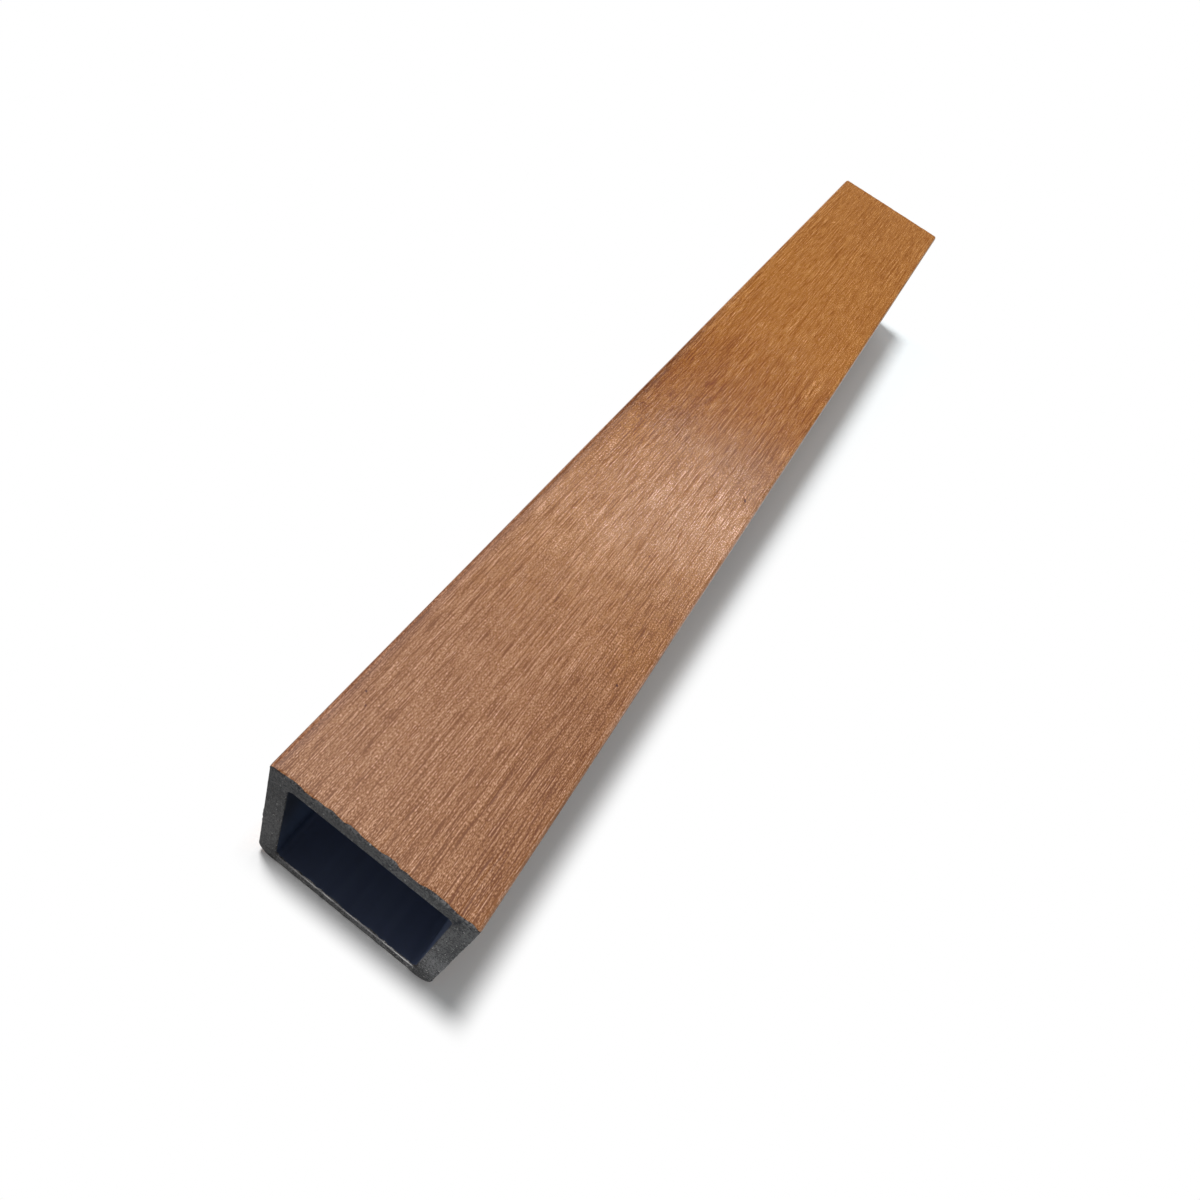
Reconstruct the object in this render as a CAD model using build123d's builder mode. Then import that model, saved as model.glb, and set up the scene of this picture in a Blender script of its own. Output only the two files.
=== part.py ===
from build123d import *
import os

# Hollow square batten of wood-plastic composite: one extruded profile, sawn square at both ends.
# The length lies along X, the width along Y and the height along Z.
# The origin is at the middle of the underside, so the batten lies on the plane Z = 0
# with its grained face up.

# Driving dimensions, in millimetres
batten_length = 370.0
batten_width = 50.0
batten_height = 50.0
wall_thickness = 5.0
face_arris_radius = 1.2
back_corner_radius = 4.0
hollow_corner_radius = 2.0

# Places and sizes that follow from them
near_end_x = -batten_length / 2
section_centre_z = batten_height / 2
hollow_width = batten_width - 2 * wall_thickness
hollow_height = batten_height - 2 * wall_thickness

# The section is drawn on the near end, seen along the batten:
# the sketch's x runs along +Y of the batten and its y along +Z.
near_end = Plane(origin=(near_end_x, 0, section_centre_z), x_dir=(0, 1, 0), z_dir=(1, 0, 0))

# Batten
with BuildPart() as batten:
    with BuildSketch(near_end) as section:
        Rectangle(batten_width, batten_height)
        back_corners = section.vertices().group_by(Axis.Y)[0]
        fillet(back_corners, radius=back_corner_radius)
        face_arrises = section.vertices().group_by(Axis.Y)[-1]
        fillet(face_arrises, radius=face_arris_radius)
        RectangleRounded(hollow_width, hollow_height, hollow_corner_radius, mode=Mode.SUBTRACT)
    extrude(amount=batten_length)
batten.part.label = "batten"

os.makedirs("parts", exist_ok=True)
export_step(batten.part, "parts/batten.step")
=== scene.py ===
import math

import bpy
import numpy as np
from mathutils import Matrix, Vector


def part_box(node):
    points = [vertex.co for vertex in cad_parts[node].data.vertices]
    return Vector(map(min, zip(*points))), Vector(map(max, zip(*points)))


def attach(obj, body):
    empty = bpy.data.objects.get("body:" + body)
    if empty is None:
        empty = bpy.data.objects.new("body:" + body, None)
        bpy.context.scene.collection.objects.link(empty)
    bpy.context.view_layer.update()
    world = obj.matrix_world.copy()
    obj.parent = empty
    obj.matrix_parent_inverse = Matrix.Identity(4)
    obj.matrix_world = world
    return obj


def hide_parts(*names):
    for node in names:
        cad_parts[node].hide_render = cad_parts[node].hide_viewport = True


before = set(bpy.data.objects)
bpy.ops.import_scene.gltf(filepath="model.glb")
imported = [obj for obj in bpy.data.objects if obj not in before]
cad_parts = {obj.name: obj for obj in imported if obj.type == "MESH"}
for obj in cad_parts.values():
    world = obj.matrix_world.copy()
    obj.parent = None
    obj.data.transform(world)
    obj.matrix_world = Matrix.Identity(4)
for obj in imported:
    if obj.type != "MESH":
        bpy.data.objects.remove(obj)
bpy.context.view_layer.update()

# All lengths are in metres. X runs along the batten from its near end to its far one, Y points to its left
# and Z points up. The origin is at the middle of its underside.
MM = 0.001
SEED = 4127

# The batten's overall sizes come from the frame.
LOW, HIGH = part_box("batten")
LENGTH = HIGH.x - LOW.x
WIDTH = HIGH.y - LOW.y
HEIGHT = HIGH.z - LOW.z

# Section
WALL = 5.0 * MM
FACE_ARRIS_RADIUS = 1.2 * MM
BACK_CORNER_RADIUS = 4.0 * MM
HOLLOW_CORNER_RADIUS = 2.0 * MM

# Mesh columns along each stretch of the section, rings along the batten, and the angle of a sharp edge
FACE_COLUMNS = 290
ARRIS_COLUMNS = 10
SIDE_COLUMNS = 150
BACK_CORNER_COLUMNS = 12
BACK_COLUMNS = 90
LENGTH_RINGS = 108
BORE_RINGS = 6
SHARP_EDGE = math.radians(40)

# Brushed relief of the skin, cut inwards from the nominal surface. The slope is about how far a stroke runs
# sideways for its length, the reach is how many of its widths out it is worked out, and the powers make
# short strokes and shallow ones the more common.
STROKES = 5200
STROKE_LENGTH = (8 * MM, 55 * MM)
STROKE_WIDTH = (0.12 * MM, 0.28 * MM)
STROKE_DEPTH = (0.006 * MM, 0.034 * MM)
STROKE_SLOPE = 0.006
STROKE_REACH = 2.2
SHORT_POWER = 2
SHALLOW_POWER = 1.6
DEEPEST = 0.08 * MM

# Sawn ends: how far the skin is chipped back, the spacing of the chips round the outline, the part of their
# random depth that is used, and where the rings of the cut and of the bore's lip lie
CHIP_DEPTH = 0.60 * MM
CHIP_PITCHES = (1.5 * MM, 5.5 * MM)
CHIP_RANGE = (0.15, 0.85)
FAR_CHIP_SHARE = 0.4
ARRIS_EASE = 0.08 * MM
FIRST_RINGS = (0.9 * MM, 2.2 * MM)
CUT_RING_INSETS = (0.25 * MM, 1.5 * MM, 3.2 * MM, 4.8 * MM)
BORE_CHIP_DEPTH = 0.35 * MM
BORE_LIP = 0.8 * MM

# Arrises of the face: how much painted shade browns the skin over the left one and how much painted light
# pales it over the right one, how far in, and the share of that reach over which it comes on
LEFT_ARRIS_PAINTED_SHADE = 0.60
RIGHT_ARRIS_PAINTED_LIGHT = 1.0
LEFT_ARRIS_REACH = 3.0 * MM
RIGHT_ARRIS_REACH = 1.7 * MM
ARRIS_TINT_EDGE = 0.6

# Bake: the patch of the texture for each part of the surface, as left, width, bottom and height
SKIN_PATCH = (0.005, 0.990, 0.005, 0.795)
BORE_PATCH = (0.005, 0.600, 0.815, 0.180)
NEAR_CUT_PATCH = (0.630, 0.175, 0.815, 0.175)
FAR_CUT_PATCH = (0.815, 0.175, 0.815, 0.175)

# In the materials, a change is written as where it begins and ends, and then its values there. Places are
# counted from the origin, and cells are how many cells of a noise there are to the metre along X, Y and Z.

# Skin: long fine lines. Each pair of tones holds for the near end and for the far end. A line comes on
# over the two noise values of its kind, and in broad bands the lines are a little weaker or stronger.
GRAIN_CHANGE = (-150 * MM, 100 * MM)
FIBRE_CELLS = (28, 3400, 3400)
FIBRE_DARK = (-0.55, -0.70)
FIBRE_LIGHT = (0.28, 0.40)
THREAD_CELLS = (145, 4700, 4700)
THREAD_DARK = (-1.0, -1.1)
THREAD_LIGHT = (0.40, 0.55)
DARK_LINES = (0.41, 0.31)
LIGHT_LINES = (0.59, 0.69)
BAND_CELLS = (9, 75, 75)
BAND_STRENGTH = (0.35, 0.65, 0.92, 1.08)
WAVER_CELLS = (10, 50, 50)
WAVER = 0.4 * MM

# Skin: short dashes, speckle, broad streaks and painted shade in the grooves of the brushed relief
DASH_CELLS = (420, 4200, 4200)
DASH_TONE = (0.9, 1.7)
SPECKLE_CELLS = (2000, 4600, 4600)
SPECKLE_TONE = (3.2, 5.2)
STREAK_CELLS = (5, 260, 260)
STREAK_TONE = 0.09
GROOVE_DEPTHS = (0.15, 0.8)
GROOVE_PAINTED_SHADE = -0.08

# Skin: slender nicks and scratches, as cells, half width as a share of a cell, and share of cells left bare
DARK_NICKS = ((30, 2700, 2700), 0.24, 0.55)
DARK_NICK_TONE = -0.5
LIGHT_NICKS = ((120, 2700, 2700), 0.26, 0.62)
LIGHT_NICK_TONE = (0.35, 0.5)
SCRATCHES = ((30, 3000, 3000), 0.27, 0.32)
SCRATCH_TONE = (-130 * MM, -70 * MM, -0.75, -1.0)
NICK_HEIGHT = -0.5
RELIEF_DEPTH = 0.007 * MM

# Skin: pink-brown turns to gold round one place, where the grain is stronger and the tone is darker, partly
# the skin's own colour and partly painted shade. The right half is darker towards the near end, painted
# shade, and lighter at the sheen, a painted sheen, and the left half is darker round the turn. No line is
# darker than the lowest tone.
TURN = -14 * MM
GRAIN_GAIN = (20 * MM, 80 * MM, 1.4, 1.0)
LOWEST_TONE = -0.73
LOWEST_TONE_BLEND = 0.25
TURN_BAND = (-62 * MM, -24 * MM, -4 * MM, 46 * MM)
TURN_TONE_AND_PAINTED_SHADE = -0.40
RIGHT_HALF = (-3 * MM, -25 * MM)
RIGHT_PAINTED_SHADE_AND_SHEEN = (-102 * MM, -74 * MM, -0.22, 0.10)
RIGHT_PAINTED_END = (-62 * MM, -42 * MM, 1.0, 0.0)
LEFT_HALF = (0.0, 22 * MM)
LEFT_TONE = (40 * MM, 85 * MM, -0.14, 0.0)
MIDDLE_TONE = 0.55

# Skin: small marks on the face, as place along and across, length and width in millimetres, turn in degrees,
# and tone
FACE_MARKS = (
    (-164.4, 19.4, 1.0, 0.5, 15, -1.1),
    (-162.0, 21.3, 0.7, 0.6, 0, -1.8),
    (-145.0, 0.2, 4.2, 0.35, 0, 0.7),
    (-143.4, -1.4, 3.2, 0.6, 46, -0.6),
    (-124.0, -20.0, 1.0, 0.7, 10, -2.2),
    (-113.5, 3.3, 6.5, 0.5, 0, -0.9),
    (-85.6, -8.2, 1.3, 0.8, 60, -0.7),
    (-73.6, -17.9, 5.0, 0.35, -10, -1.0),
    (-69.8, 6.4, 1.2, 0.7, 0, -0.9),
    (-68.5, -5.0, 1.6, 0.6, 70, -0.9),
    (-47.2, -1.9, 6.0, 0.4, 0, -1.1),
    (-45.9, -20.3, 2.4, 0.9, 40, -1.1),
    (-35.9, 21.2, 2.6, 0.6, -50, -0.8),
    (138.8, 15.7, 2.6, 1.0, -35, 1.2),
    (141.2, 13.1, 2.6, 0.7, 0, 0.9),
)

# Marks and needles: how deep a mark reaches through the surface, the share of a mark's or a needle's half
# width that has its full strength, and how softly the cells that hold a needle are chosen
MARK_THICKNESS = 4 * MM
MARK_CORE = 0.35
NEEDLE_CORE = 0.3
NEEDLE_CHOICE = 0.25

# Skin: colours as they show on screen, from 0 to 255, and how far each swings from its darkest to its
# lightest. Clouds and dashes make the places where one turns to the next ragged. The pink-brown of the near
# end is partly the skin's own colour and partly painted sheen.
PINK_BROWN_WITH_PAINTED_SHEEN = ((148, 98, 58), (47, 49, 58))
BETWEEN = ((159, 105, 51), (48, 48, 66))
GOLD = ((160, 100, 33), (38, 38, 43))
LEFT_ARRIS_SHADED_COLOUR = ((124, 78, 54), (40, 36, 30))
RIGHT_ARRIS_LIT_COLOUR = ((173, 127, 97), (40, 42, 48))
BROWN_TO_BETWEEN = (-140 * MM, -75 * MM)
BETWEEN_TO_GOLD = (-54 * MM, -4 * MM)
CLOUD_CELLS = (45, 90, 90)
CLOUD_DRIFT = 60 * MM
DASH_DRIFT = 80 * MM
LEFT_ARRIS_FADE = (-20 * MM, 80 * MM, 1.0, 0.15)
RIGHT_ARRIS_FADE = (-60 * MM, 30 * MM, 1.0, 0.1)
SCREEN_GAMMA = 2.2

# Skin: roughness. Dark lines are rougher where the sheen is, and slightly smoother beyond it.
SHEEN = -68 * MM
ROUGHNESS = (-130 * MM, -79 * MM, 0.53, 0.23)
DARK_ROUGHER = (0.0, 0.45, 0.20, 0.0)
SHEEN_REACH = (16 * MM, 36 * MM, 1.0, 0.0)
DARK_SMOOTHER = (0.0, 0.5, -0.04, 0.0)
BEYOND_SHEEN = (-62 * MM, -42 * MM, 8 * MM, 30 * MM)

# Sawn cut: colours, and the cells of its specks, clouds and blade lines with the share of each
CUT_DARK = (0.028, 0.028, 0.029, 1)
CUT_PALE = (0.096, 0.095, 0.096, 1)
CUT_TONES = (0.49, 0.65)
SPECK_CELLS = (1500, 3000, 3000)
SPECK_SHARE = 0.7
CUT_CLOUD_CELLS = (60, 90, 90)
CUT_CLOUD_SHARE = 0.25
BLADE_CELLS = (10, 2600, 240)
BLADE_SHARE = 0.2
CUT_RELIEF_DEPTH = 0.2 * MM

# Sawn cut: the faint broken line that follows the outline
LINE_COLOUR = (0.105, 0.104, 0.104, 1)
LINE_INSET = 1.9 * MM
LINE_EDGE = (0.25 * MM, 0.1 * MM)
LINE_CELLS = (60, 60, 60)
LINE_BREAKS = (0.48, 0.62)

# Sawn cut: pits and flecks. The places are those where the near cut is pitted, across and up, with width and
# height, in millimetres.
PIT_COLOUR = (0.004, 0.005, 0.010, 1)
PITS = ((1200, 1200, 1200), 0.56, 0.1)
PITTED_CELLS = (130, 130, 130)
PITTED_SHARE = (0.52, 0.66)
PITTED_PLACES = (
    (22.5, 46.5, 7.0, 7.0),
    (16.0, 46.8, 9.0, 5.0),
    (6.0, 46.2, 8.0, 4.5),
    (-19.5, 45.0, 7.0, 5.0),
)
FLECK_COLOUR = (0.30, 0.29, 0.28, 1)
FLECK_CELLS = (1100, 1900, 1900)
FLECK_SHARE = (0.78, 0.84)

# Sawn cut: the short crack at the top right of the near cut
CRACK_COLOUR = (0.005, 0.006, 0.012, 1)
CRACK_PLACE = (-20.6 * MM, 46.2 * MM)
CRACK_SIZE = (1.0 * MM, 8.6 * MM)
CRACK_LEAN = math.radians(8)
CRACK_CELLS = (600, 900, 1500)
CRACK_BREAKS = (0.34, 0.44, 0.3, 1.0)

# Sawn cut: a pale ragged painted highlight along the bore's lower edge, and a pale painted highlight on the
# rim at the bottom
LIP_HIGHLIGHT_COLOUR = (0.34, 0.333, 0.326, 1)
LIP_HIGHLIGHT_HEIGHT = 4.45 * MM
LIP_HIGHLIGHT_EDGE = (0.55 * MM, 0.28 * MM)
LIP_HIGHLIGHT_CELLS = (300, 420, 2200)
LIP_HIGHLIGHT_RAGGEDNESS = 0.9 * MM
LIP_HIGHLIGHT_LEFT_FADE = (18 * MM, 8 * MM, 0.25, 1.0)
THICKNESS_CELLS = (200, 260, 260)
THICKNESS = (0.35, 0.60, 0.35, 1.0)
RIM_HIGHLIGHT_COLOUR = (0.42, 0.42, 0.413, 1)
RIM_HIGHLIGHT_EDGE = (0.9 * MM, 0.4 * MM)
BORE_SPAN = (20.5 * MM, 18.5 * MM)

# Sawn cut: painted light, how bright the cut is painted from place to place. The near cut has the first
# level at its top left, gains the next two towards its lower left and top right, gains the fourth too at its
# lower right, and the fifth below the bore.
TOP_LEFT_LEVEL = 0.86
LOWER_LEFT_GAIN = 0.20
TOP_RIGHT_GAIN = 0.62
LOWER_RIGHT_GAIN = 1.0
BELOW_BORE_GAIN = 1.1
FAR_CUT_LEVEL = 0.9
LEFT_TO_RIGHT = (22 * MM, -22 * MM)
TOP_TO_BOTTOM = (44 * MM, 8 * MM)
BELOW_BORE = (7 * MM, 4 * MM)
NEAR_TO_FAR_CUT = (-150 * MM, -100 * MM)

# Bore: faint die lines, and navy with painted shade at its top and painted light on its floor. At the mouth
# painted shade darkens the left and painted light makes the right a little paler. Further in it is charcoal.
# The floor and the deep part have a colour between the lines and one on them, and the left wall has a
# painted-shade colour for its top at the mouth and a painted-light one for the rest.
DIE_CELLS = (12, 300, 300)
DIE_LINES = (0.3, 0.7)
DIE_RELIEF_DEPTH = 0.02 * MM
BORE_SHADED_TOP_COLOUR = (0.032, 0.042, 0.078, 1)
BORE_LIT_FLOOR_COLOURS = ((0.105, 0.135, 0.235, 1), (0.118, 0.150, 0.257, 1))
BORE_TOP_TO_FLOOR = (46 * MM, 6 * MM)
MOUTH = (-184 * MM, -170 * MM)
LEFT_PAINTED_SHADE_AND_LIGHT = (-0.35, 0.3)
LEFT_PART = (20.5 * MM, 8 * MM)
RIGHT_PAINTED_LIGHT = (0.0, -20 * MM, 0.0, 0.3)
LEFT_WALL = (18.8 * MM, 19.8 * MM)
LEFT_WALL_SHADE_TO_LIGHT_COLOURS = ((0.008, 0.013, 0.027, 1), (0.036, 0.054, 0.104, 1))
LEFT_WALL_TOP_TO_FLOOR = (34 * MM, 8 * MM)
DEEP = (-168 * MM, -140 * MM)
DEEP_COLOURS = ((0.042, 0.043, 0.047, 1), (0.050, 0.051, 0.055, 1))

# Floor: it keeps the batten's shadow, which fades between two distances beside the batten and beyond its
# ends, and is narrower on the left by the share. The lift is the white that still shows in it. On the right
# the floor is slightly blue, so that the shadow stays grey beside the brown batten.
FLOOR_HALF = 6.0
FLOOR_COLOUR = (0.955, 0.955, 0.955, 1)
FLOOR_RIGHT_COLOUR = (0.89, 0.95, 0.975, 1)
FLOOR_RIGHT = (-22 * MM, -30 * MM)
SIDE_SHADOW = (8.5 * MM, 22.5 * MM, 1.0, 0.0)
END_SHADOW = (-0.8 * MM, 6.6 * MM, 1.0, 0.0)
LEFT_SHARE = 3.0
SHADOW_LIFT = 0.055

# Light: soft grey from the world, and lamps as name, elevation and azimuth in degrees, distance, width,
# height, and brightness, where 1 is white
WHITE = (1, 1, 1, 1)
AMBIENT_COLOUR = (0.98, 0.98, 0.98, 1)
AMBIENT_LEVEL = 0.18
LAMPS = (
    ("key", 71.4, 70.5, 2.2, 0.40, 0.40, 80.0),
    ("sheen", 45.9, -1.7, 1.6, 0.39, 0.17, 10.7),
    ("fill", 53.0, 17.2, 1.6, 0.40, 0.25, 6.2),
)

# Camera: the photograph is 1200 x 1200 pixels. The sensor's width is in millimetres, as Blender has it.
PHOTO_PX = 1200
FOCAL_PX = 858.5
AXIS_PX = (584.0, 524.0)
SENSOR_WIDTH = 36.0
CLIP_START = 0.01
CLIP_END = 50.0
CAMERA_FROM_NEAR_END = Vector((-52.05, -13.45, 164.64)) * MM
CAMERA_FORWARD = Vector((0.6627, 0.1073, -0.7411))
CAMERA_UP = Vector((0.5618, 0.5831, 0.5868))

SKIN, SAWN, BORE = range(3)


# Section

def straight(start, end, normal, count):
    """Points and normals of a straight stretch, without its last point."""
    share = (np.arange(count) / count)[:, None]
    points = np.array(start) * (1 - share) + np.array(end) * share
    return points, np.tile(np.array(normal, float), (count, 1))


def quarter(centre, radius, start, count):
    """Points and normals of a quarter turn that begins at the angle start, without its last point."""
    turns = start + (math.pi / 2) * np.arange(count) / count
    normals = np.stack([np.cos(turns), np.sin(turns)], 1)
    return np.array(centre) + radius * normals, normals


def section(inset, face_radius, back_radius):
    """A ring of (y, z) points and outward normals: the face, the right side, the back and the left side."""
    left, right = WIDTH / 2 - inset, inset - WIDTH / 2
    top, bottom = HEIGHT - inset, inset
    face, back = face_radius, back_radius
    stretches = [
        straight((left - face, top), (right + face, top), (0, 1), FACE_COLUMNS),
        quarter((right + face, top - face), face, math.pi / 2, ARRIS_COLUMNS),
        straight((right, top - face), (right, bottom + back), (-1, 0), SIDE_COLUMNS),
        quarter((right + back, bottom + back), back, math.pi, BACK_CORNER_COLUMNS),
        straight((right + back, bottom), (left - back, bottom), (0, -1), BACK_COLUMNS),
        quarter((left - back, bottom + back), back, -math.pi / 2, BACK_CORNER_COLUMNS),
        straight((left, bottom + back), (left, top - face), (1, 0), SIDE_COLUMNS),
        quarter((left - face, top - face), face, 0.0, ARRIS_COLUMNS),
    ]
    return np.concatenate([p for p, _ in stretches]), np.concatenate([n for _, n in stretches])


def inner_radius(radius, inset):
    """A corner's radius as the ring moves from the outline towards the hollow."""
    share = inset / WALL
    return radius * (1 - share) + HOLLOW_CORNER_RADIUS * share


# Relief

def wander(distances, around, pitch, rng):
    """A smooth random value from 0 to 1 that runs round the section and closes on itself."""
    knots = int(around / pitch)
    values = rng.random(knots)
    place = distances / around * knots
    before = np.floor(place).astype(int)
    share = place - before
    share = share * share * (3 - 2 * share)
    return values[before % knots] * (1 - share) + values[(before + 1) % knots] * share


def brushed_relief(stations, distances, around, rng):
    """Depth of the brush strokes at each station along the batten and each point round the section."""
    depth = np.zeros((len(stations), len(distances)))
    middles = rng.uniform(stations[0], stations[-1], STROKES)
    places = rng.uniform(0, around, STROKES)
    shortest, longest = STROKE_LENGTH
    halves = 0.5 * (shortest + (longest - shortest) * rng.random(STROKES) ** SHORT_POWER)
    widths = rng.uniform(*STROKE_WIDTH, STROKES)
    shallowest, deepest = STROKE_DEPTH
    depths = shallowest + (deepest - shallowest) * rng.random(STROKES) ** SHALLOW_POWER
    slopes = rng.normal(0, STROKE_SLOPE, STROKES)
    reach = STROKE_REACH * widths + np.abs(slopes) * halves
    first_row = np.searchsorted(stations, middles - halves)
    last_row = np.searchsorted(stations, middles + halves)
    first_column = np.searchsorted(distances, places - reach)
    last_column = np.searchsorted(distances, places + reach)
    for i in range(STROKES):
        rows = slice(first_row[i], last_row[i])
        columns = slice(first_column[i], last_column[i])
        along = (stations[rows] - middles[i])[:, None]
        across = distances[columns][None, :] - places[i] - slopes[i] * along
        taper = (1 - (along / halves[i]) ** 2) ** 2
        depth[rows, columns] += depths[i] * taper * np.exp(-(across / widths[i]) ** 2)
    return np.minimum(depth, DEEPEST)


# Mesh

def arris_painted_light(outline):
    """Above 0 where painted shade browns the skin over the left arris, below 0 where painted light pales it
    over the right.
    """
    from_corner = np.hypot(WIDTH / 2 - np.abs(outline[:, 0]), HEIGHT - outline[:, 1])
    left = outline[:, 0] > 0
    reach = np.where(left, LEFT_ARRIS_REACH, RIGHT_ARRIS_REACH)
    near_arris = np.clip((reach - from_corner) / (ARRIS_TINT_EDGE * reach), 0, 1)
    return near_arris * np.where(left, LEFT_ARRIS_PAINTED_SHADE, -RIGHT_ARRIS_PAINTED_LIGHT)


def cut_rings(x, insets):
    """The rings of a sawn end, each at its inset from the outline."""
    rings = []
    for inset in insets:
        face = inner_radius(FACE_ARRIS_RADIUS, inset)
        back = inner_radius(BACK_CORNER_RADIUS, inset)
        points, _ = section(inset, face, back)
        rings.append(np.column_stack([np.full(len(points), x), points]))
    return np.array(rings)


def batten_rings(rng):
    """The rings of the batten's surface as one closed tube: out along the skin, in over the far cut, back
    through the bore and out over the near cut. Returns their points, relief and the painted shade and light
    of the arrises, and the material of each band between two rings."""
    outline, normals = section(0, FACE_ARRIS_RADIUS, BACK_CORNER_RADIUS)
    steps = np.linalg.norm(np.roll(outline, -1, 0) - outline, axis=1)
    distances = np.concatenate([[0], np.cumsum(steps)[:-1]])
    around = steps.sum()

    inner = np.linspace(LOW.x + FIRST_RINGS[-1], HIGH.x - FIRST_RINGS[-1], LENGTH_RINGS)
    near = LOW.x + np.array((0.0,) + FIRST_RINGS[:-1])
    far = HIGH.x - np.array((0.0,) + FIRST_RINGS[:-1])[::-1]
    stations = np.concatenate([near, inner, far])
    relief = brushed_relief(stations, distances, around, rng)

    skin = np.zeros((len(stations), len(outline), 3))
    skin[:, :, 0] = stations[:, None]
    skin[:, :, 1:] = outline - relief[:, :, None] * normals
    for row, reach in ((0, CHIP_DEPTH), (-1, -CHIP_DEPTH * FAR_CHIP_SHARE)):
        chips = sum(wander(distances, around, pitch, rng) for pitch in CHIP_PITCHES) / len(CHIP_PITCHES)
        chips = np.clip((chips - CHIP_RANGE[0]) / (CHIP_RANGE[1] - CHIP_RANGE[0]), 0, 1)
        skin[row, :, 0] += reach * chips
        skin[row, :, 1:] -= ARRIS_EASE * normals

    far_cut = cut_rings(HIGH.x, CUT_RING_INSETS)
    near_cut = cut_rings(LOW.x, CUT_RING_INSETS[::-1])
    hollow, _ = section(WALL, HOLLOW_CORNER_RADIUS, HOLLOW_CORNER_RADIUS)
    inside = np.linspace(HIGH.x - BORE_LIP, LOW.x + BORE_LIP, BORE_RINGS)
    bore_stations = np.concatenate([[HIGH.x], inside, [LOW.x]])
    bore = np.zeros((len(bore_stations), len(hollow), 3))
    bore[:, :, 0] = bore_stations[:, None]
    bore[:, :, 1:] = hollow
    bore[0, :, 0] -= BORE_CHIP_DEPTH * wander(distances, around, CHIP_PITCHES[0], rng)
    bore[-1, :, 0] += BORE_CHIP_DEPTH * wander(distances, around, CHIP_PITCHES[0], rng)

    rings = np.concatenate([skin, far_cut, bore, near_cut])
    depth = np.zeros(rings.shape[:2])
    depth[:len(skin)] = relief / DEEPEST
    arris = np.zeros(rings.shape[:2])
    arris[:len(skin)] = arris_painted_light(outline)
    bands = np.concatenate([
        np.full(len(skin) - 1, SKIN),
        np.full(len(far_cut) + 1, SAWN),
        np.full(len(bore) - 1, BORE),
        np.full(len(near_cut) + 1, SAWN),
    ])
    return rings, depth, arris, bands


def bake_map(rings, bands):
    """Texture places for each face corner: the skin, the bore and the two cuts unrolled side by side."""
    count, columns = rings.shape[:2]
    ring = np.arange(count)[:, None] + np.array([0, 0, 1, 1])
    column = np.arange(columns)[:, None] + np.array([0, 1, 1, 0])
    ring = np.broadcast_to(ring[:, None, :], (count, columns, 4))
    column = np.broadcast_to(column[None, :, :], (count, columns, 4))
    points = rings[ring % count, column % columns]
    along = (points[..., 0] - LOW.x) / LENGTH
    round_share = column / columns
    across = points[..., 1] / WIDTH + 0.5
    up = (points[..., 2] - LOW.z) / HEIGHT
    band = np.broadcast_to(bands[:, None, None], along.shape)
    far = np.broadcast_to(points[..., 0].mean(-1, keepdims=True) > 0, along.shape)
    places = np.zeros((count, columns, 4, 2))

    def lay(chosen, patch, u, v):
        """Lays the chosen corners in a patch, where u and v run from 0 to 1 over it."""
        left, width, bottom, height = patch
        places[..., 0] = np.where(chosen, left + width * u, places[..., 0])
        places[..., 1] = np.where(chosen, bottom + height * v, places[..., 1])

    lay(band == SKIN, SKIN_PATCH, along, round_share)
    lay(band == BORE, BORE_PATCH, along, round_share)
    lay((band == SAWN) & ~far, NEAR_CUT_PATCH, across, up)
    lay((band == SAWN) & far, FAR_CUT_PATCH, across, up)
    return places


def batten_mesh():
    rng = np.random.default_rng(SEED)
    rings, depth, arris, bands = batten_rings(rng)
    count, columns = rings.shape[:2]
    ring = np.arange(count * columns).reshape(count, columns)
    next_ring = np.roll(ring, -1, 0)
    corners = np.stack([ring, np.roll(ring, -1, 1), np.roll(next_ring, -1, 1), next_ring], 2).reshape(-1)
    faces = count * columns
    mesh = bpy.data.meshes.new("batten_body")
    mesh.vertices.add(count * columns)
    mesh.vertices.foreach_set("co", rings.reshape(-1).astype(np.float32))
    mesh.loops.add(faces * 4)
    mesh.loops.foreach_set("vertex_index", corners.astype(np.int32))
    mesh.polygons.add(faces)
    mesh.polygons.foreach_set("loop_start", np.arange(0, faces * 4, 4, dtype=np.int32))
    mesh.polygons.foreach_set("material_index", np.repeat(bands, columns).astype(np.int32))
    mesh.update(calc_edges=True)
    mesh.validate()
    mesh.polygons.foreach_set("use_smooth", np.ones(faces, bool))
    mesh.set_sharp_from_angle(angle=SHARP_EDGE)
    for name, values in (("relief", depth), ("arris", arris)):
        layer = mesh.attributes.new(name, "FLOAT", "POINT")
        layer.data.foreach_set("value", values.reshape(-1).astype(np.float32))
    unrolled = mesh.uv_layers.new(name="OFBake")
    unrolled.data.foreach_set("uv", bake_map(rings, bands).reshape(-1).astype(np.float32))
    return mesh


# Materials

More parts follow.
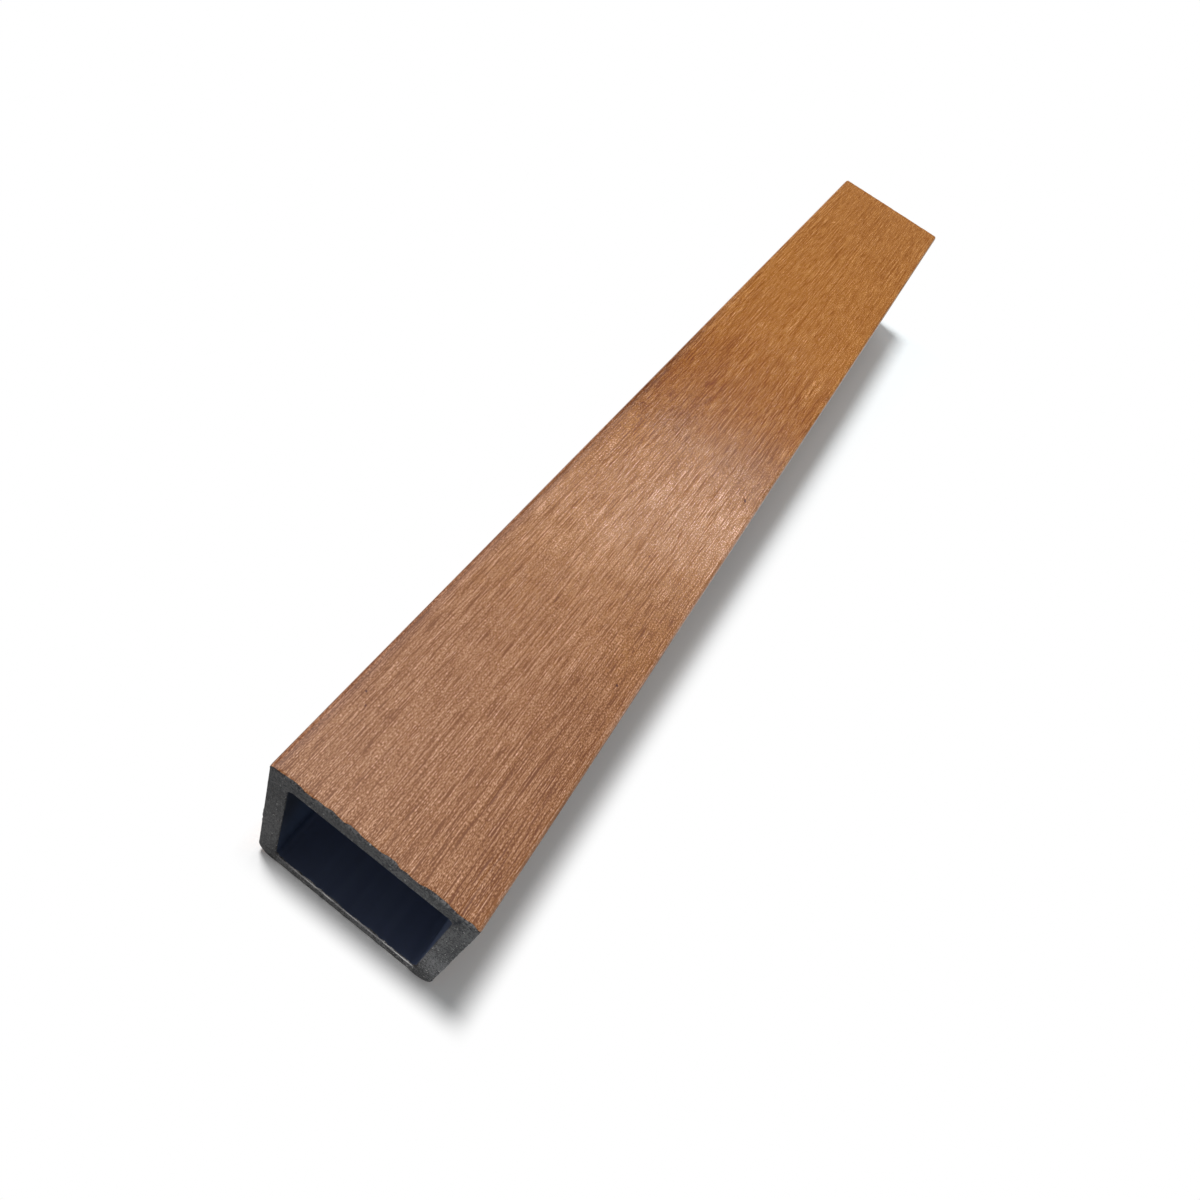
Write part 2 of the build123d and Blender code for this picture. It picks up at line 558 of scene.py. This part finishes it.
class Shader:
    """A material with a Principled shader, and short calls for the nodes that drive it."""

    def __init__(self, name):
        self.material = bpy.data.materials.new(name)
        self.material.use_nodes = True
        self.tree = self.material.node_tree
        self.tree.nodes.clear()
        self.surface = self.tree.nodes.new("ShaderNodeBsdfPrincipled")
        self.output = self.tree.nodes.new("ShaderNodeOutputMaterial")
        self.put(self.output, "Surface", self.surface.outputs["BSDF"])
        self.place = self.tree.nodes.new("ShaderNodeTexCoord").outputs["Object"]
        self.x, self.y, self.z = self.parts(self.place)

    def put(self, node, socket, value):
        """Links a node's output to a socket, or sets the socket's own value. None leaves it as it is."""
        if isinstance(value, bpy.types.NodeSocket):
            self.tree.links.new(value, node.inputs[socket])
        elif value is not None:
            node.inputs[socket].default_value = value

    def maths(self, operation, a, b=None, c=None):
        node = self.tree.nodes.new("ShaderNodeMath")
        node.operation = operation
        for socket, value in enumerate((a, b, c)):
            self.put(node, socket, value)
        return node.outputs[0]

    def plus(self, value, added, amount):
        """A value with an amount of another added to it."""
        return self.maths("MULTIPLY_ADD", added, amount, value)

    def centred(self, value):
        return self.maths("SUBTRACT", value, 0.5)

    def distance(self, value, place):
        return self.maths("ABSOLUTE", self.maths("SUBTRACT", value, place))

    def vector(self, operation, a, b):
        node = self.tree.nodes.new("ShaderNodeVectorMath")
        node.operation = operation
        self.put(node, 0, a)
        self.put(node, 1, b)
        return node.outputs[0]

    def parts(self, vector):
        """The three numbers of a vector or a colour."""
        node = self.tree.nodes.new("ShaderNodeSeparateXYZ")
        self.put(node, 0, vector)
        return node.outputs

    def attribute(self, name):
        node = self.tree.nodes.new("ShaderNodeAttribute")
        node.attribute_name = name
        return node.outputs["Fac"]

    def spread(self, value, low, high, to_low=0.0, to_high=1.0):
        """A soft step from one number to another as the value goes from low to high."""
        node = self.tree.nodes.new("ShaderNodeMapRange")
        node.interpolation_type = "SMOOTHSTEP"
        for socket, number in zip(("Value", "From Min", "From Max", "To Min", "To Max"),
                                  (value, low, high, to_low, to_high)):
            self.put(node, socket, number)
        return node.outputs["Result"]

    def plateau(self, value, start, full, fading, end):
        """0 up to the start, 1 from full to fading, and 0 again from the end on."""
        rise = self.spread(value, start, full)
        return self.maths("MULTIPLY", rise, self.spread(value, fading, end, 1.0, 0.0))

    def noise(self, vector, cells, detail, roughness=0.5):
        node = self.tree.nodes.new("ShaderNodeTexNoise")
        self.put(node, "Vector", self.vector("MULTIPLY", vector, cells))
        self.put(node, "Scale", 1.0)
        self.put(node, "Detail", detail)
        self.put(node, "Roughness", roughness)
        return node.outputs["Fac"]

    def needles(self, vector, cells, size, bare):
        """Slender marks: the middles of stretched cells. The bare share of the cells has none."""
        node = self.tree.nodes.new("ShaderNodeTexVoronoi")
        self.put(node, "Vector", self.vector("MULTIPLY", vector, cells))
        self.put(node, "Scale", 1.0)
        random_shade = self.parts(node.outputs["Color"])[0]
        chosen = self.spread(random_shade, bare, bare + NEEDLE_CHOICE)
        needle = self.spread(node.outputs["Distance"], size, NEEDLE_CORE * size)
        return self.maths("MULTIPLY", needle, chosen)

    def mark(self, centre, size, turn):
        """A soft-edged oval patch at a place on the batten."""
        node = self.tree.nodes.new("ShaderNodeMapping")
        node.vector_type = "TEXTURE"
        self.put(node, "Vector", self.place)
        self.put(node, "Location", centre)
        self.put(node, "Rotation", turn)
        self.put(node, "Scale", [length / 2 for length in size])
        reach = self.tree.nodes.new("ShaderNodeVectorMath")
        reach.operation = "LENGTH"
        self.put(reach, 0, node.outputs[0])
        return self.spread(reach.outputs["Value"], 1.0, MARK_CORE)

    def mix(self, share, a, b):
        """A colour between a and b."""
        node = self.tree.nodes.new("ShaderNodeMix")
        node.data_type = "RGBA"
        node.clamp_factor = False
        node.clamp_result = True
        self.put(node, 0, share)
        self.put(node, 6, a)
        self.put(node, 7, b)
        return node.outputs[2]

    def mixed(self, share, a, b):
        """A number between a and b."""
        node = self.tree.nodes.new("ShaderNodeMix")
        self.put(node, 0, share)
        self.put(node, 2, a)
        self.put(node, 3, b)
        return node.outputs[0]

    def toned(self, tone, middle, swing):
        """A colour as it shows on screen, from 0 to 255, that swings from dark to light with the tone."""
        dark = [(m - s / 2) / 255 for m, s in zip(middle, swing)]
        light = [(m + s / 2) / 255 for m, s in zip(middle, swing)]
        return self.mix(tone, (*dark, 1), (*light, 1))

    def from_screen(self, colour):
        node = self.tree.nodes.new("ShaderNodeGamma")
        self.put(node, "Color", colour)
        self.put(node, "Gamma", SCREEN_GAMMA)
        return node.outputs[0]

    def scaled(self, colour, level):
        """A colour made brighter or darker. The level may pass 1."""
        node = self.tree.nodes.new("ShaderNodeVectorMath")
        node.operation = "SCALE"
        self.put(node, 0, colour)
        self.put(node, "Scale", level)
        return node.outputs[0]

    def bump(self, height, depth):
        node = self.tree.nodes.new("ShaderNodeBump")
        self.put(node, "Strength", 1.0)
        self.put(node, "Distance", depth)
        self.put(node, "Height", height)
        return node.outputs["Normal"]

    def finish(self, colour, roughness, specular, normal=None):
        self.put(self.surface, "Base Color", colour)
        self.put(self.surface, "Roughness", roughness)
        self.put(self.surface, "Specular IOR Level", specular)
        self.put(self.surface, "Normal", normal)
        return self.material


# Skin material

def wavering_place(s):
    """Places on the batten, shifted a little sideways, so that the long lines aren't dead straight."""
    waver = s.maths("MULTIPLY", s.centred(s.noise(s.place, WAVER_CELLS, detail=1.0)), WAVER)
    shift = s.tree.nodes.new("ShaderNodeCombineXYZ")
    s.put(shift, "Y", waver)
    s.put(shift, "Z", waver)
    return s.vector("ADD", s.place, shift.outputs[0])


def near_to_far(s, pair):
    """A number that goes from the pair's first value near one end to its second near the other."""
    return s.spread(s.x, *GRAIN_CHANGE, *pair)


def crisp(s, value, dark, light):
    """A noise's lowest and highest values as dark and light lines, with an even tone between them."""
    lines = s.maths("MULTIPLY", s.spread(value, *DARK_LINES), near_to_far(s, dark))
    return s.plus(lines, s.spread(value, *LIGHT_LINES), near_to_far(s, light))


def skin_grain(s):
    """The grain's tone, with 0 as its middle, the height of its lines, and the dashes alone."""
    place = wavering_place(s)
    fibres = crisp(s, s.noise(place, FIBRE_CELLS, detail=0.0), FIBRE_DARK, FIBRE_LIGHT)
    threads = crisp(s, s.noise(place, THREAD_CELLS, detail=0.0), THREAD_DARK, THREAD_LIGHT)
    bands = s.spread(s.noise(s.place, BAND_CELLS, detail=1.0), *BAND_STRENGTH)
    lines = s.maths("MULTIPLY", s.maths("ADD", fibres, threads), bands)
    dashes = s.centred(s.noise(place, DASH_CELLS, detail=1.0))
    speckle = s.centred(s.noise(s.place, SPECKLE_CELLS, detail=0.0))
    streaks = s.centred(s.noise(place, STREAK_CELLS, detail=2.0))
    dark_nicks = s.needles(place, *DARK_NICKS)
    light_nicks = s.needles(place, *LIGHT_NICKS)
    scratches = s.needles(s.place, *SCRATCHES)
    grooves = s.spread(s.attribute("relief"), *GROOVE_DEPTHS)

    tone = s.plus(lines, dashes, near_to_far(s, DASH_TONE))
    tone = s.plus(tone, speckle, near_to_far(s, SPECKLE_TONE))
    tone = s.maths("MULTIPLY", tone, s.spread(s.distance(s.x, TURN), *GRAIN_GAIN))
    tone = s.plus(tone, streaks, STREAK_TONE)
    tone = s.plus(tone, dark_nicks, DARK_NICK_TONE)
    tone = s.plus(tone, scratches, s.spread(s.x, *SCRATCH_TONE))
    tone = s.plus(tone, light_nicks, near_to_far(s, LIGHT_NICK_TONE))
    # Painted shade in the grooves of the relief
    tone = s.plus(tone, grooves, GROOVE_PAINTED_SHADE)
    tone = s.maths("SMOOTH_MAX", tone, LOWEST_TONE, LOWEST_TONE_BLEND)
    return tone, s.plus(lines, dark_nicks, NICK_HEIGHT), dashes


def skin_shade(s, tone):
    """The tone with what its place on the batten and the small marks of the face add to it. The right half
    carries painted shade and a painted sheen, and the turn partly painted shade.
    """
    # Painted shade on the right half towards the near end, and a painted sheen on it at the sheen
    right = s.maths("MULTIPLY", s.spread(s.x, *RIGHT_PAINTED_SHADE_AND_SHEEN), s.spread(s.x, *RIGHT_PAINTED_END))
    tone = s.plus(tone, s.spread(s.y, *RIGHT_HALF), right)
    # A darker band round the turn, partly the skin's own colour and partly painted shade
    tone = s.plus(tone, s.plateau(s.x, *TURN_BAND), TURN_TONE_AND_PAINTED_SHADE)
    left = s.spread(s.distance(s.x, TURN), *LEFT_TONE)
    tone = s.plus(tone, s.spread(s.y, *LEFT_HALF), left)
    for x, y, length, width, turn, added in FACE_MARKS:
        size = (length * MM, width * MM, MARK_THICKNESS)
        spot = s.mark((x * MM, y * MM, HIGH.z), size, (0, 0, math.radians(turn)))
        tone = s.plus(tone, spot, added)
    return s.maths("ADD", tone, MIDDLE_TONE)


def skin_colour(s, tone, dashes):
    """Pink-brown at the near end, partly painted sheen, that drifts to gold. Painted shade browns it over
    the face's left arris and painted light pales it over the right one."""
    clouds = s.centred(s.noise(s.place, CLOUD_CELLS, detail=3.0))
    drift = s.plus(s.x, clouds, CLOUD_DRIFT)
    drift = s.plus(drift, dashes, DASH_DRIFT)
    # Pink-brown towards the near end, partly painted sheen, drifting to gold
    colour = s.mix(s.spread(drift, *BROWN_TO_BETWEEN), s.toned(tone, *PINK_BROWN_WITH_PAINTED_SHEEN), s.toned(tone, *BETWEEN))
    colour = s.mix(s.spread(drift, *BETWEEN_TO_GOLD), colour, s.toned(tone, *GOLD))
    # Painted shade over the left arris and painted light over the right one, both fading along the batten
    painted_arris = s.attribute("arris")
    left = s.maths("MULTIPLY", s.maths("MAXIMUM", painted_arris, 0.0), s.spread(s.x, *LEFT_ARRIS_FADE))
    right = s.maths("MAXIMUM", s.maths("MULTIPLY", painted_arris, -1.0), 0.0)
    right = s.maths("MULTIPLY", right, s.spread(s.x, *RIGHT_ARRIS_FADE))
    colour = s.mix(left, colour, s.toned(tone, *LEFT_ARRIS_SHADED_COLOUR))
    colour = s.mix(right, colour, s.toned(tone, *RIGHT_ARRIS_LIT_COLOUR))
    return s.from_screen(colour)


def skin_roughness(s, tone):
    """Rough at the near end and smoother from the sheen on. Within the sheen dark lines are rougher."""
    rougher = s.spread(s.distance(s.x, SHEEN), *SHEEN_REACH)
    rougher = s.maths("MULTIPLY", s.spread(tone, *DARK_ROUGHER), rougher)
    rough = s.spread(s.x, *ROUGHNESS)
    rough = s.plus(rough, s.spread(tone, *DARK_SMOOTHER), s.plateau(s.x, *BEYOND_SHEEN))
    return s.maths("ADD", rough, rougher)


def skin_material():
    """Brushed wood-grain skin."""
    s = Shader("wood_grain_skin")
    grain, height, dashes = skin_grain(s)
    tone = skin_shade(s, grain)
    colour = skin_colour(s, tone, dashes)
    normal = s.bump(height, RELIEF_DEPTH)
    return s.finish(colour, roughness=skin_roughness(s, tone), specular=0.4, normal=normal)


# Sawn material

def with_outline(s, colour):
    """Adds the faint line that follows the outline."""
    from_side = s.maths("SUBTRACT", WIDTH / 2, s.maths("ABSOLUTE", s.y))
    from_top = s.maths("SUBTRACT", HEIGHT, s.z)
    inset = s.maths("MINIMUM", from_side, s.maths("MINIMUM", s.z, from_top))
    broken = s.spread(s.noise(s.place, LINE_CELLS, detail=1.0), *LINE_BREAKS)
    line = s.maths("MULTIPLY", s.spread(s.distance(inset, LINE_INSET), *LINE_EDGE), broken)
    return s.mix(line, colour, LINE_COLOUR)


def with_pits(s, colour):
    """Adds dark pits, in patches, and pale flecks."""
    patches = s.spread(s.noise(s.place, PITTED_CELLS, detail=1.0), *PITTED_SHARE)
    for y, z, width, height in PITTED_PLACES:
        size = (MARK_THICKNESS, width * MM, height * MM)
        patches = s.maths("MAXIMUM", patches, s.mark((LOW.x, y * MM, z * MM), size, (0, 0, 0)))
    pits = s.needles(s.place, *PITS)
    colour = s.mix(s.maths("MULTIPLY", pits, patches), colour, PIT_COLOUR)
    flecks = s.spread(s.noise(s.place, FLECK_CELLS, detail=0.0), *FLECK_SHARE)
    return s.mix(flecks, colour, FLECK_COLOUR)


def with_crack(s, colour):
    """Adds the short crack of the near cut."""
    crack = s.mark((LOW.x, *CRACK_PLACE), (MARK_THICKNESS, *CRACK_SIZE), (CRACK_LEAN, 0, 0))
    broken = s.spread(s.noise(s.place, CRACK_CELLS, detail=0.0), *CRACK_BREAKS)
    return s.mix(s.maths("MULTIPLY", crack, broken), colour, CRACK_COLOUR)


def with_painted_highlights(s, colour, across_bore):
    """Adds a pale ragged painted highlight along the bore's lower edge, and a pale painted highlight on the
    rim at the bottom.
    """
    ragged = s.centred(s.noise(s.place, LIP_HIGHLIGHT_CELLS, detail=2.0, roughness=0.6))
    from_lip_highlight = s.distance(s.plus(s.z, ragged, LIP_HIGHLIGHT_RAGGEDNESS), LIP_HIGHLIGHT_HEIGHT)
    thick = s.spread(s.noise(s.place, THICKNESS_CELLS, detail=1.0), *THICKNESS)
    lip_highlight = s.maths("MULTIPLY", s.spread(from_lip_highlight, *LIP_HIGHLIGHT_EDGE), s.maths("MULTIPLY", across_bore, thick))
    lip_highlight = s.maths("MULTIPLY", lip_highlight, s.spread(s.y, *LIP_HIGHLIGHT_LEFT_FADE))
    colour = s.mix(lip_highlight, colour, LIP_HIGHLIGHT_COLOUR)
    rim = s.maths("MULTIPLY", s.spread(s.z, *RIM_HIGHLIGHT_EDGE), across_bore)
    return s.mix(s.maths("MULTIPLY", rim, thick), colour, RIM_HIGHLIGHT_COLOUR)


def cut_painted_light(s, across_bore):
    """Painted light: how bright the cut is painted from place to place."""
    rightness = s.spread(s.y, *LEFT_TO_RIGHT)
    lowness = s.spread(s.z, *TOP_TO_BOTTOM)
    left = s.maths("MULTIPLY_ADD", lowness, LOWER_LEFT_GAIN, TOP_LEFT_LEVEL)
    to_right = s.maths("MULTIPLY_ADD", lowness, LOWER_RIGHT_GAIN, TOP_RIGHT_GAIN)
    level = s.plus(left, rightness, to_right)
    below_bore_light = s.maths("MULTIPLY", s.spread(s.z, *BELOW_BORE), across_bore)
    level = s.plus(level, below_bore_light, BELOW_BORE_GAIN)
    return s.mixed(s.spread(s.x, *NEAR_TO_FAR_CUT), level, FAR_CUT_LEVEL)


def sawn_material():
    """Charcoal composite as the saw leaves it: faint blade lines, specks and clouds, with what the functions
    above add, painted highlights and painted light among them."""
    s = Shader("sawn_composite")
    specks = s.noise(s.place, SPECK_CELLS, detail=1.0, roughness=0.7)
    clouds = s.noise(s.place, CUT_CLOUD_CELLS, detail=2.0)
    blade = s.noise(s.place, BLADE_CELLS, detail=2.0)
    tone = s.plus(s.maths("MULTIPLY", blade, BLADE_SHARE), specks, SPECK_SHARE)
    tone = s.plus(tone, clouds, CUT_CLOUD_SHARE)
    across_bore = s.spread(s.maths("ABSOLUTE", s.y), *BORE_SPAN)
    colour = s.mix(s.spread(tone, *CUT_TONES), CUT_DARK, CUT_PALE)
    colour = with_outline(s, colour)
    colour = with_pits(s, colour)
    colour = with_crack(s, colour)
    # Painted highlights along the bore's lower edge and on the bottom rim
    colour = with_painted_highlights(s, colour, across_bore)
    # Painted light: the cut is brighter towards its right, its bottom and below the bore
    colour = s.scaled(colour, cut_painted_light(s, across_bore))
    return s.finish(colour, roughness=0.72, specular=0.15, normal=s.bump(tone, CUT_RELIEF_DEPTH))


# Bore material

def bore_material():
    """The bore's inside, with faint die lines: navy near the mouth, with painted shade and painted light,
    and charcoal further in.
    """
    s = Shader("extruded_bore")
    lines = s.noise(s.place, DIE_CELLS, detail=1.0)
    line_share = s.spread(lines, *DIE_LINES)
    inward = s.spread(s.x, *MOUTH)
    # Painted shade on the left at the mouth and painted light there further in, and painted light on the
    # right
    left_shade_and_light = s.spread(s.y, *LEFT_PART, s.mixed(inward, *LEFT_PAINTED_SHADE_AND_LIGHT), 0.0)
    beside = s.maths("ADD", left_shade_and_light, s.spread(s.y, *RIGHT_PAINTED_LIGHT))
    # Painted shade at the top and painted light towards the floor
    low = s.maths("ADD", s.spread(s.z, *BORE_TOP_TO_FLOOR), beside)
    colour = s.mix(s.maths("MAXIMUM", low, 0.0), BORE_SHADED_TOP_COLOUR, s.mix(line_share, *BORE_LIT_FLOOR_COLOURS))
    # The left wall: painted shade at its top by the mouth, painted light lower down and further in
    wall_painted_light = s.spread(s.z, *LEFT_WALL_TOP_TO_FLOOR)
    left_wall = s.mix(s.maths("ADD", inward, wall_painted_light), *LEFT_WALL_SHADE_TO_LIGHT_COLOURS)
    colour = s.mix(s.spread(s.y, *LEFT_WALL), colour, left_wall)
    colour = s.mix(s.spread(s.x, *DEEP), colour, s.mix(line_share, *DEEP_COLOURS))
    return s.finish(colour, roughness=0.6, specular=0.3, normal=s.bump(lines, DIE_RELIEF_DEPTH))


# Floor material

def floor_material():
    """A matt floor that the camera sees as plain white, except where the batten's shadow is kept."""
    s = Shader("white_floor")
    colour = s.mix(s.spread(s.y, *FLOOR_RIGHT), FLOOR_COLOUR, FLOOR_RIGHT_COLOUR)
    s.finish(colour, roughness=1.0, specular=0.0)
    right = s.maths("SUBTRACT", -WIDTH / 2, s.y)
    left = s.maths("MULTIPLY", s.maths("SUBTRACT", s.y, WIDTH / 2), LEFT_SHARE)
    # Distances count 1.5 times at the near end and half at the far one, so the shadow widens on the way.
    widening = s.maths("MULTIPLY_ADD", s.x, -1 / LENGTH, 1.0)
    beside = s.maths("MULTIPLY", s.maths("MAXIMUM", right, left), widening)
    beyond = s.maths("MAXIMUM", s.maths("SUBTRACT", s.maths("ABSOLUTE", s.x), LENGTH / 2), 0.0)
    kept = s.maths("MULTIPLY", s.spread(beside, *SIDE_SHADOW), s.spread(beyond, *END_SHADOW))
    white_share = s.maths("SUBTRACT", 1.0, s.maths("MULTIPLY", kept, 1.0 - SHADOW_LIFT))
    ray = s.tree.nodes.new("ShaderNodeLightPath")
    white = s.tree.nodes.new("ShaderNodeEmission")
    s.put(white, "Color", WHITE)
    s.put(white, "Strength", 1.0)
    shown = s.tree.nodes.new("ShaderNodeMixShader")
    s.put(shown, 0, s.maths("MULTIPLY", white_share, ray.outputs["Is Camera Ray"]))
    s.put(shown, 1, s.surface.outputs["BSDF"])
    s.put(shown, 2, white.outputs["Emission"])
    s.put(s.output, "Surface", shown.outputs[0])
    return s.material


# Batten

body = bpy.data.objects.new("batten_body", batten_mesh())
bpy.context.scene.collection.objects.link(body)
for material in (skin_material(), sawn_material(), bore_material()):
    body.data.materials.append(material)
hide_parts("batten")
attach(body, "root")

# Floor

floor_mesh = bpy.data.meshes.new("floor")
floor_corners = [(-FLOOR_HALF, -FLOOR_HALF, 0), (FLOOR_HALF, -FLOOR_HALF, 0),
                 (FLOOR_HALF, FLOOR_HALF, 0), (-FLOOR_HALF, FLOOR_HALF, 0)]
floor_mesh.from_pydata(floor_corners, [], [(0, 1, 2, 3)])
floor_mesh.materials.append(floor_material())
floor = bpy.data.objects.new("floor", floor_mesh)
bpy.context.scene.collection.objects.link(floor)

# World: soft grey light, white to the camera

world = bpy.data.worlds.new("studio")
bpy.context.scene.world = world
world.use_nodes = True
tree = world.node_tree
tree.nodes.clear()
ambient = tree.nodes.new("ShaderNodeBackground")
ambient.inputs["Color"].default_value = AMBIENT_COLOUR
ambient.inputs["Strength"].default_value = AMBIENT_LEVEL
white = tree.nodes.new("ShaderNodeBackground")
white.inputs["Color"].default_value = WHITE
seen = tree.nodes.new("ShaderNodeLightPath")
choose = tree.nodes.new("ShaderNodeMixShader")
sky = tree.nodes.new("ShaderNodeOutputWorld")
tree.links.new(seen.outputs["Is Camera Ray"], choose.inputs[0])
tree.links.new(ambient.outputs[0], choose.inputs[1])
tree.links.new(white.outputs[0], choose.inputs[2])
tree.links.new(choose.outputs[0], sky.inputs["Surface"])


# Lamps

def softbox(name, elevation, azimuth, distance, width, height, level):
    """A rectangular lamp that faces the batten's middle. Angles are in degrees, azimuth from +X to +Y."""
    data = bpy.data.lights.new(name, "AREA")
    data.shape = "RECTANGLE"
    data.size = width
    data.size_y = height
    data.energy = level * math.pi * width * height
    lamp = bpy.data.objects.new(name, data)
    up, turn = math.radians(elevation), math.radians(azimuth)
    towards = Vector((math.cos(up) * math.cos(turn), math.cos(up) * math.sin(turn), math.sin(up)))
    lamp.location = Vector((0, 0, HEIGHT / 2)) + towards * distance
    lamp.rotation_euler = towards.to_track_quat("Z", "Y").to_euler()
    bpy.context.scene.collection.objects.link(lamp)


for lamp in LAMPS:
    softbox(*lamp)

# Camera

camera_data = bpy.data.cameras.new("photo_camera")
camera_data.sensor_width = SENSOR_WIDTH
camera_data.lens = SENSOR_WIDTH * FOCAL_PX / PHOTO_PX
camera_data.shift_x = (PHOTO_PX / 2 - AXIS_PX[0]) / PHOTO_PX
camera_data.shift_y = (AXIS_PX[1] - PHOTO_PX / 2) / PHOTO_PX
camera_data.clip_start = CLIP_START
camera_data.clip_end = CLIP_END
camera = bpy.data.objects.new("photo_camera", camera_data)
back = -CAMERA_FORWARD.normalized()
across = CAMERA_UP.cross(back).normalized()
turn = Matrix((across, back.cross(across), back)).transposed().to_4x4()
camera.matrix_world = Matrix.Translation(Vector((LOW.x, 0, HIGH.z)) + CAMERA_FROM_NEAR_END) @ turn
bpy.context.scene.collection.objects.link(camera)
bpy.context.scene.camera = camera

bpy.context.scene.view_settings.view_transform = "Standard"
